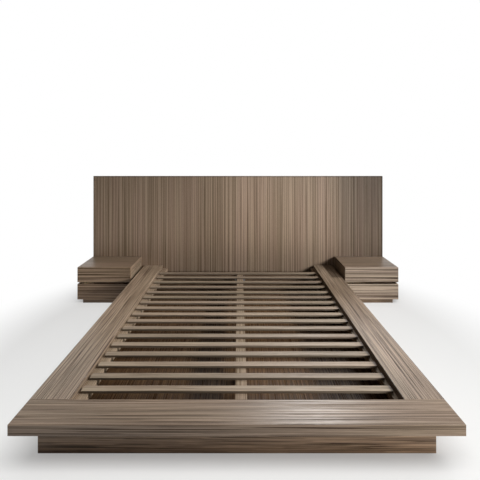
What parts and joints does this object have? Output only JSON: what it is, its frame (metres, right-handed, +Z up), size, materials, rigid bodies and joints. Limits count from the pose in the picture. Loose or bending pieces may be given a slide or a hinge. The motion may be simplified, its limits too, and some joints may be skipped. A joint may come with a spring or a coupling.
{
  "type": "platform bed",
  "caption": "Low platform bed with wide flat rails round a sunk slat deck, a set-back plinth, and a full-width headboard with a nightstand of stacked drawers at each side.",
  "frame": {"origin": "on the floor, under the middle of the bed's outline", "axes": "+Z up, +Y from the foot to the headboard, +X to the right as seen from the foot"},
  "size_m": [2.976, 2.269, 1.159],
  "materials": {
    "veneer": "satin lacquer",
    "plinth_veneer": "satin lacquer",
    "slat_wood": "matt stain",
    "hardwood": "clear lacquer",
    "steel": "zinc plated"
  },
  "bodies": {
    "bed": {"foot_rail": "veneer", "side_rail_left": "veneer", "side_rail_right": "veneer", "headboard_panel": "veneer", "plinth_front": "plinth_veneer", "plinth_back": "plinth_veneer", "plinth_left": "plinth_veneer", "plinth_right": "plinth_veneer", "base_panel": "plinth_veneer", "corner_plates": "steel", "head_brackets": "steel", "beam_hangers": "steel", "connector_bolts": "steel", "plinth_blocks": "hardwood", "headboard_battens": "hardwood", "ledger_left": "slat_wood", "ledger_right": "slat_wood", "centre_beam": "slat_wood", "centre_legs": "slat_wood", "slat_01": "slat_wood", "slat_02": "slat_wood", "slat_03": "slat_wood", "slat_04": "slat_wood", "slat_05": "slat_wood", "slat_06": "slat_wood", "slat_07": "slat_wood", "slat_08": "slat_wood", "slat_09": "slat_wood", "slat_10": "slat_wood", "slat_11": "slat_wood", "slat_12": "slat_wood", "slat_13": "slat_wood", "slat_14": "slat_wood", "slat_15": "slat_wood", "slat_16": "slat_wood", "slat_17": "slat_wood", "nightstand_left_top": "veneer", "nightstand_left_outer_side": "veneer", "nightstand_left_inner_side": "veneer", "nightstand_left_back_panel": "hardwood", "nightstand_left_bottom": "hardwood", "nightstand_left_base": "plinth_veneer", "nightstand_left_divider": "plinth_veneer", "nightstand_left_runners": "hardwood", "nightstand_right_top": "veneer", "nightstand_right_outer_side": "veneer", "nightstand_right_inner_side": "veneer", "nightstand_right_back_panel": "hardwood", "nightstand_right_bottom": "hardwood", "nightstand_right_base": "plinth_veneer", "nightstand_right_divider": "plinth_veneer", "nightstand_right_runners": "hardwood"},
    "left_lower_drawer": {"nightstand_left_lower_front": "veneer", "nightstand_left_lower_drawer_box": "hardwood"},
    "left_upper_drawer": {"nightstand_left_upper_front": "veneer", "nightstand_left_upper_drawer_box": "hardwood"},
    "right_lower_drawer": {"nightstand_right_lower_front": "veneer", "nightstand_right_lower_drawer_box": "hardwood"},
    "right_upper_drawer": {"nightstand_right_upper_front": "veneer", "nightstand_right_upper_drawer_box": "hardwood"}
  },
  "joints": [
    {"name": "left_lower_drawer_slide", "type": "slide", "parent": "bed", "child": "left_lower_drawer", "axis": [0, -1, 0], "range_m": [0, 0.25]},
    {"name": "left_upper_drawer_slide", "type": "slide", "parent": "bed", "child": "left_upper_drawer", "axis": [0, -1, 0], "range_m": [0, 0.25]},
    {"name": "right_lower_drawer_slide", "type": "slide", "parent": "bed", "child": "right_lower_drawer", "axis": [0, -1, 0], "range_m": [0, 0.25]},
    {"name": "right_upper_drawer_slide", "type": "slide", "parent": "bed", "child": "right_upper_drawer", "axis": [0, -1, 0], "range_m": [0, 0.25]}
  ]
}
